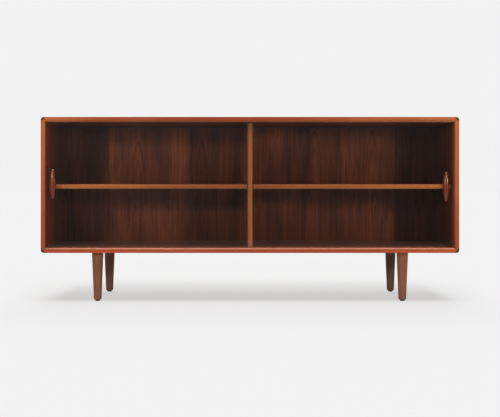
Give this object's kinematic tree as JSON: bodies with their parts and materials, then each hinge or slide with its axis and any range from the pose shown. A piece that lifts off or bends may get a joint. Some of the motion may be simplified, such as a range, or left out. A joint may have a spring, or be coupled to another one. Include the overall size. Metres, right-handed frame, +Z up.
{
  "type": "bookcase with glass doors",
  "caption": "Low mid-century bookcase in dark veneer on tapered round legs, with sliding glass doors on spindle pulls and a shelf on either side of a divider.",
  "frame": {"origin": "on the floor, under the middle of the case", "axes": "+X to the right as seen from the front, +Y towards the back, so the doors face -Y, +Z up"},
  "size_m": [1.8, 0.4, 0.8],
  "materials": {
    "veneer_panel": "satin oiled veneer",
    "back_veneer": "satin oiled veneer",
    "solid_lipping": "satin oiled solid wood",
    "corner_bead": "satin oiled solid wood",
    "shelf_veneer": "satin oiled veneer",
    "leg_wood": "satin turned solid wood",
    "pull_wood": "polished turned solid wood",
    "dowel_beech": "plain beech",
    "track_strip": "dark slip strip",
    "door_glass": "clear float glass with ground edges",
    "brass_support": "plain brass",
    "zinc_steel": "zinc-plated steel",
    "glide_plastic": "dark moulded plastic"
  },
  "bodies": {
    "case": {"top_panel": "veneer_panel", "bottom_panel": "veneer_panel", "left_side_panel": "veneer_panel", "right_side_panel": "veneer_panel", "bottom_left_corner_bead": "corner_bead", "bottom_right_corner_bead": "corner_bead", "top_left_corner_bead": "corner_bead", "top_right_corner_bead": "corner_bead", "top_lipping": "solid_lipping", "bottom_lipping": "solid_lipping", "left_lipping": "solid_lipping", "right_lipping": "solid_lipping", "front_track_strip": "track_strip", "rear_track_strip": "track_strip", "back_panel": "back_veneer", "divider_panel": "veneer_panel", "divider_lipping": "solid_lipping", "front_left_leg": "leg_wood", "front_right_leg": "leg_wood", "rear_left_leg": "leg_wood", "rear_right_leg": "leg_wood", "leg_bolts": "zinc_steel", "leg_inserts": "zinc_steel", "glides": "glide_plastic", "divider_dowels": "dowel_beech", "left_shelf_supports": "brass_support", "right_shelf_supports": "brass_support"},
    "left_door": {"left_glass_door": "door_glass", "left_pull": "pull_wood"},
    "right_door": {"right_glass_door": "door_glass", "right_pull": "pull_wood"},
    "left_shelf_board": {"left_shelf": "shelf_veneer", "left_shelf_lipping": "solid_lipping"},
    "right_shelf_board": {"right_shelf": "shelf_veneer", "right_shelf_lipping": "solid_lipping"}
  },
  "joints": [
    {"name": "left_door_slide", "type": "slide", "parent": "case", "child": "left_door", "axis": [1, 0, 0], "range_m": [0, 0.861]},
    {"name": "right_door_slide", "type": "slide", "parent": "case", "child": "right_door", "axis": [1, 0, 0], "range_m": [-0.861, 0]},
    {"name": "left_shelf_lift", "type": "slide", "parent": "case", "child": "left_shelf_board", "axis": [0, 0, 1], "range_m": [0, 0.032]},
    {"name": "right_shelf_lift", "type": "slide", "parent": "case", "child": "right_shelf_board", "axis": [0, 0, 1], "range_m": [0, 0.032]}
  ]
}
